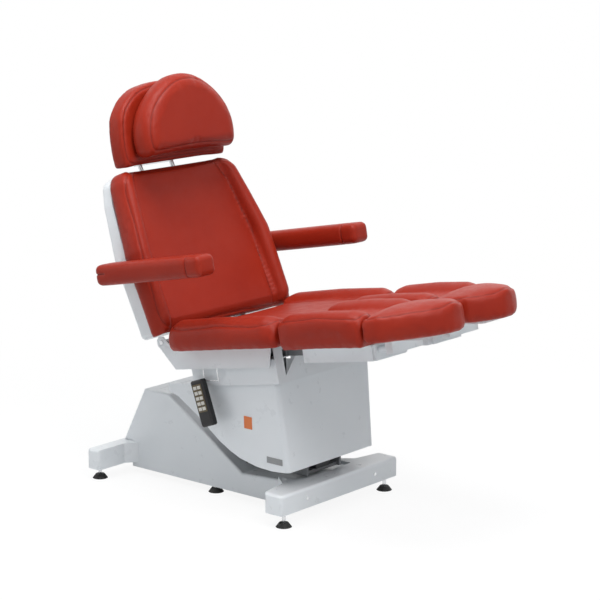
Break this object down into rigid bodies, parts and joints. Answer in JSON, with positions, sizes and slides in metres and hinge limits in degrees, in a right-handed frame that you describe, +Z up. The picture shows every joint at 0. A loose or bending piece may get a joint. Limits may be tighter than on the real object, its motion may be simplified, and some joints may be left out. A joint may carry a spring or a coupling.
{
  "type": "podiatry chair",
  "caption": "Powered podiatry chair: lifting base under a shroud, padded seat, reclining back with headrest, swing-up armrests, split folding leg rests and a wired hand control.",
  "frame": {"origin": "centre of the chair's footprint box on the floor", "axes": "+X towards the foot end, +Y to the left side of the person seated, +Z up"},
  "size_m": [1.3179, 0.778, 1.2608],
  "materials": {
    "white_paint": "gloss",
    "dark_frame": "satin",
    "upholstery": "satin",
    "steel": "satin",
    "black_rubber": "matt",
    "drive_case": "satin",
    "black_plastic": "satin",
    "bezel": "satin",
    "key": "matt",
    "plate": "satin",
    "patch": "gloss"
  },
  "bodies": {
    "base": {"base_housing": "white_paint", "base_chassis": "dark_frame", "front_crossbar": "white_paint", "rear_crossbar": "white_paint", "levelling_pads": "black_rubber", "levelling_studs": "steel", "levelling_nuts": "steel", "lift_actuator": "drive_case", "rear_pivot_pins": "steel", "cover_screws": "steel", "power_inlet": "black_plastic"},
    "upper_lift_arm": {"upper_lift_arm": "dark_frame"},
    "lower_lift_arm": {"lower_lift_arm": "dark_frame"},
    "lift_rod": {"lift_rod": "steel"},
    "carriage": {"carriage_frame": "dark_frame", "carriage_pins": "steel", "shroud": "white_paint", "tilt_actuator": "drive_case", "data_plate": "plate", "colour_patch": "patch"},
    "tilt_rod": {"tilt_rod": "steel"},
    "seat": {"seat_frame": "dark_frame", "seat_side_panels": "white_paint", "seat_skirt": "white_paint", "seat_cushion": "upholstery", "back_actuator": "drive_case", "seat_hinge_pins": "steel", "handset_hook": "steel", "handset_body": "black_plastic", "keypad_bezel": "bezel"},
    "back_rod": {"back_rod": "steel"},
    "backrest": {"back_shell": "white_paint", "back_frame": "white_paint", "back_cushion": "upholstery", "armrest_shafts": "steel"},
    "headrest_posts": {"headrest_posts": "steel"},
    "headrest": {"head_plate": "dark_frame", "headrest_cushion": "upholstery", "headrest_pillow": "upholstery"},
    "armrest_left": {"armrest_left": "upholstery"},
    "armrest_right": {"armrest_right": "upholstery"},
    "leg_left": {"leg_frame_left": "white_paint", "calf_cushion_left": "upholstery"},
    "leg_right": {"leg_frame_right": "white_paint", "calf_cushion_right": "upholstery"},
    "foot_left": {"foot_board_left": "white_paint", "foot_cushion_left": "upholstery"},
    "foot_right": {"foot_board_right": "white_paint", "foot_cushion_right": "upholstery"},
    "key_1": {"handset_key_1": "key"},
    "key_2": {"handset_key_2": "key"},
    "key_3": {"handset_key_3": "key"},
    "key_4": {"handset_key_4": "key"},
    "key_5": {"handset_key_5": "key"},
    "key_6": {"handset_key_6": "key"},
    "key_7": {"handset_key_7": "key"},
    "key_8": {"handset_key_8": "key"},
    "key_9": {"handset_key_9": "key"},
    "key_10": {"handset_key_10": "key"}
  },
  "joints": [
    {"name": "lift", "type": "hinge", "parent": "base", "child": "upper_lift_arm", "pos_m": [-0.505, 0, 0.205], "axis": [0, -1, 0], "range_deg": [0, 33]},
    {"name": "lower_arm", "type": "hinge", "parent": "base", "child": "lower_lift_arm", "pos_m": [-0.475, 0, 0.115], "axis": [0, -1, 0], "range_deg": [0, 33]},
    {"name": "carriage_level", "type": "hinge", "parent": "upper_lift_arm", "child": "carriage", "pos_m": [-0.0351, 0, 0.21484], "axis": [0, -1, 0], "range_deg": [-33, 0]},
    {"name": "lift_drive", "type": "slide", "parent": "base", "child": "lift_rod", "axis": [1, 0, 0], "range_m": [0, 0.05132]},
    {"name": "seat_tilt", "type": "hinge", "parent": "carriage", "child": "seat", "pos_m": [-0.1751, 0, 0.33984], "axis": [0, -1, 0], "range_deg": [-10, 12]},
    {"name": "tilt_drive", "type": "slide", "parent": "carriage", "child": "tilt_rod", "axis": [0, 0, 1], "range_m": [-0.03851, 0.04617]},
    {"name": "recline", "type": "hinge", "parent": "seat", "child": "backrest", "pos_m": [-0.35854, 0, 0.47606], "axis": [0, -1, 0], "range_deg": [0, 62]},
    {"name": "back_drive", "type": "slide", "parent": "seat", "child": "back_rod", "axis": [0.9848, 0, 0.1736], "range_m": [0, 0.08055]},
    {"name": "head_height", "type": "slide", "parent": "backrest", "child": "headrest_posts", "axis": [-0.454, 0, 0.891], "range_m": [0, 0.07]},
    {"name": "head_tilt", "type": "hinge", "parent": "headrest_posts", "child": "headrest", "pos_m": [-0.61123, 0, 1.00723], "axis": [0, -1, 0], "range_deg": [-2, 35]},
    {"name": "armrest_left_swing", "type": "hinge", "parent": "backrest", "child": "armrest_left", "pos_m": [-0.45898, 0.3525, 0.68639], "axis": [0, -1, 0], "range_deg": [0, 75]},
    {"name": "leg_left_fold", "type": "hinge", "parent": "seat", "child": "leg_left", "pos_m": [0.15865, 0.15, 0.51445], "axis": [0, 1, 0], "range_deg": [0, 60]},
    {"name": "foot_left_slide", "type": "slide", "parent": "leg_left", "child": "foot_left", "axis": [0.9848, 0, 0.1736], "range_m": [0, 0.11]},
    {"name": "armrest_right_swing", "type": "hinge", "parent": "backrest", "child": "armrest_right", "pos_m": [-0.45898, -0.3525, 0.68639], "axis": [0, -1, 0], "range_deg": [0, 75]},
    {"name": "leg_right_fold", "type": "hinge", "parent": "seat", "child": "leg_right", "pos_m": [0.15865, -0.15, 0.51445], "axis": [0, 1, 0], "range_deg": [0, 60]},
    {"name": "foot_right_slide", "type": "slide", "parent": "leg_right", "child": "foot_right", "axis": [0.9848, 0, 0.1736], "range_m": [0, 0.11]},
    {"name": "key_1_press", "type": "slide", "parent": "seat", "child": "key_1", "axis": [0, 1, 0], "range_m": [0, 0.0015], "stiffness_N_per_m": 400, "springref_m": -0.0004},
    {"name": "key_2_press", "type": "slide", "parent": "seat", "child": "key_2", "axis": [0, 1, 0], "range_m": [0, 0.0015], "stiffness_N_per_m": 400, "springref_m": -0.0004},
    {"name": "key_3_press", "type": "slide", "parent": "seat", "child": "key_3", "axis": [0, 1, 0], "range_m": [0, 0.0015], "stiffness_N_per_m": 400, "springref_m": -0.0004},
    {"name": "key_4_press", "type": "slide", "parent": "seat", "child": "key_4", "axis": [0, 1, 0], "range_m": [0, 0.0015], "stiffness_N_per_m": 400, "springref_m": -0.0004},
    {"name": "key_5_press", "type": "slide", "parent": "seat", "child": "key_5", "axis": [0, 1, 0], "range_m": [0, 0.0015], "stiffness_N_per_m": 400, "springref_m": -0.0004},
    {"name": "key_6_press", "type": "slide", "parent": "seat", "child": "key_6", "axis": [0, 1, 0], "range_m": [0, 0.0015], "stiffness_N_per_m": 400, "springref_m": -0.0004},
    {"name": "key_7_press", "type": "slide", "parent": "seat", "child": "key_7", "axis": [0, 1, 0], "range_m": [0, 0.0015], "stiffness_N_per_m": 400, "springref_m": -0.0004},
    {"name": "key_8_press", "type": "slide", "parent": "seat", "child": "key_8", "axis": [0, 1, 0], "range_m": [0, 0.0015], "stiffness_N_per_m": 400, "springref_m": -0.0004},
    {"name": "key_9_press", "type": "slide", "parent": "seat", "child": "key_9", "axis": [0, 1, 0], "range_m": [0, 0.0015], "stiffness_N_per_m": 400, "springref_m": -0.0004},
    {"name": "key_10_press", "type": "slide", "parent": "seat", "child": "key_10", "axis": [0, 1, 0], "range_m": [0, 0.0015], "stiffness_N_per_m": 400, "springref_m": -0.0004}
  ],
  "couplings": [
    {"joint": "lower_arm", "follows": "lift", "ratio": 1},
    {"joint": "carriage_level", "follows": "lift", "ratio": -1},
    {"joint": "lift_drive", "follows": "lift", "m_per_rad": 0.088755},
    {"joint": "tilt_drive", "follows": "seat_tilt", "m_per_rad": 0.2195},
    {"joint": "back_drive", "follows": "recline", "m_per_rad": 0.07425}
  ]
}
